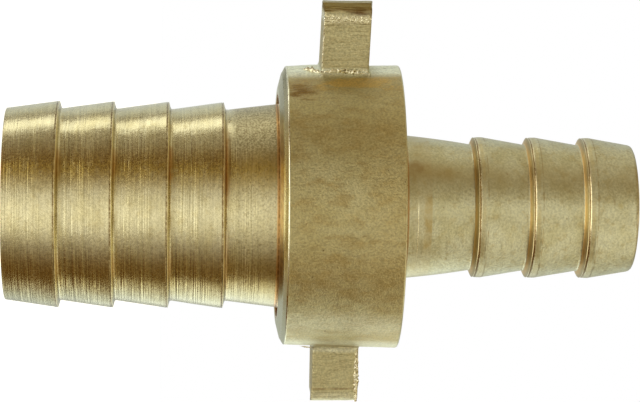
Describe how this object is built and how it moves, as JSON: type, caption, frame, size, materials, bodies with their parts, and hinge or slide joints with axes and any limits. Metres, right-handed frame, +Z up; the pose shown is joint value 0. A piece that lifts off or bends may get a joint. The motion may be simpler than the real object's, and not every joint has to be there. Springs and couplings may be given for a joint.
{
  "type": "threaded hose connector",
  "caption": "Brass union that joins a wide hose to a narrow one: two barbed tails drawn together by a swivelling nut with lugs, sealed by a flat washer.",
  "frame": {"origin": "on the common axis, at the mouth of the wide tail", "axes": "+Z up the axis from the wide tail to the narrow one, +X along the lugs, towards the shorter one"},
  "size_m": [0.0407, 0.0288, 0.0636],
  "materials": {
    "turned_brass": "satin turned, with fine rings from the tool",
    "matte_brass": "matte turned, tumbled",
    "forged_brass": "blasted forging with a fine grain",
    "washer_rubber": "matte"
  },
  "bodies": {
    "large_tail": {"large_hose_tail": "turned_brass"},
    "nut": {"union_nut": "forged_brass"},
    "washer": {"sealing_washer": "washer_rubber"},
    "small_tail": {"small_hose_tail": "matte_brass"}
  },
  "joints": [
    {"name": "nut_swivel", "type": "hinge", "parent": "large_tail", "child": "nut", "pos_m": [0, 0, 0], "axis": [0, 0, 1], "continuous": true},
    {"name": "thread_travel", "type": "slide", "parent": "nut", "child": "washer", "axis": [0, 0, 1], "range_m": [0, 0.00544]},
    {"name": "thread_turn", "type": "hinge", "parent": "washer", "child": "small_tail", "pos_m": [0, 0, 0], "axis": [0, 0, 1], "range_deg": [0, 1080]}
  ],
  "couplings": [
    {"joint": "thread_turn", "follows": "thread_travel", "rad_per_m": 3463.7}
  ]
}
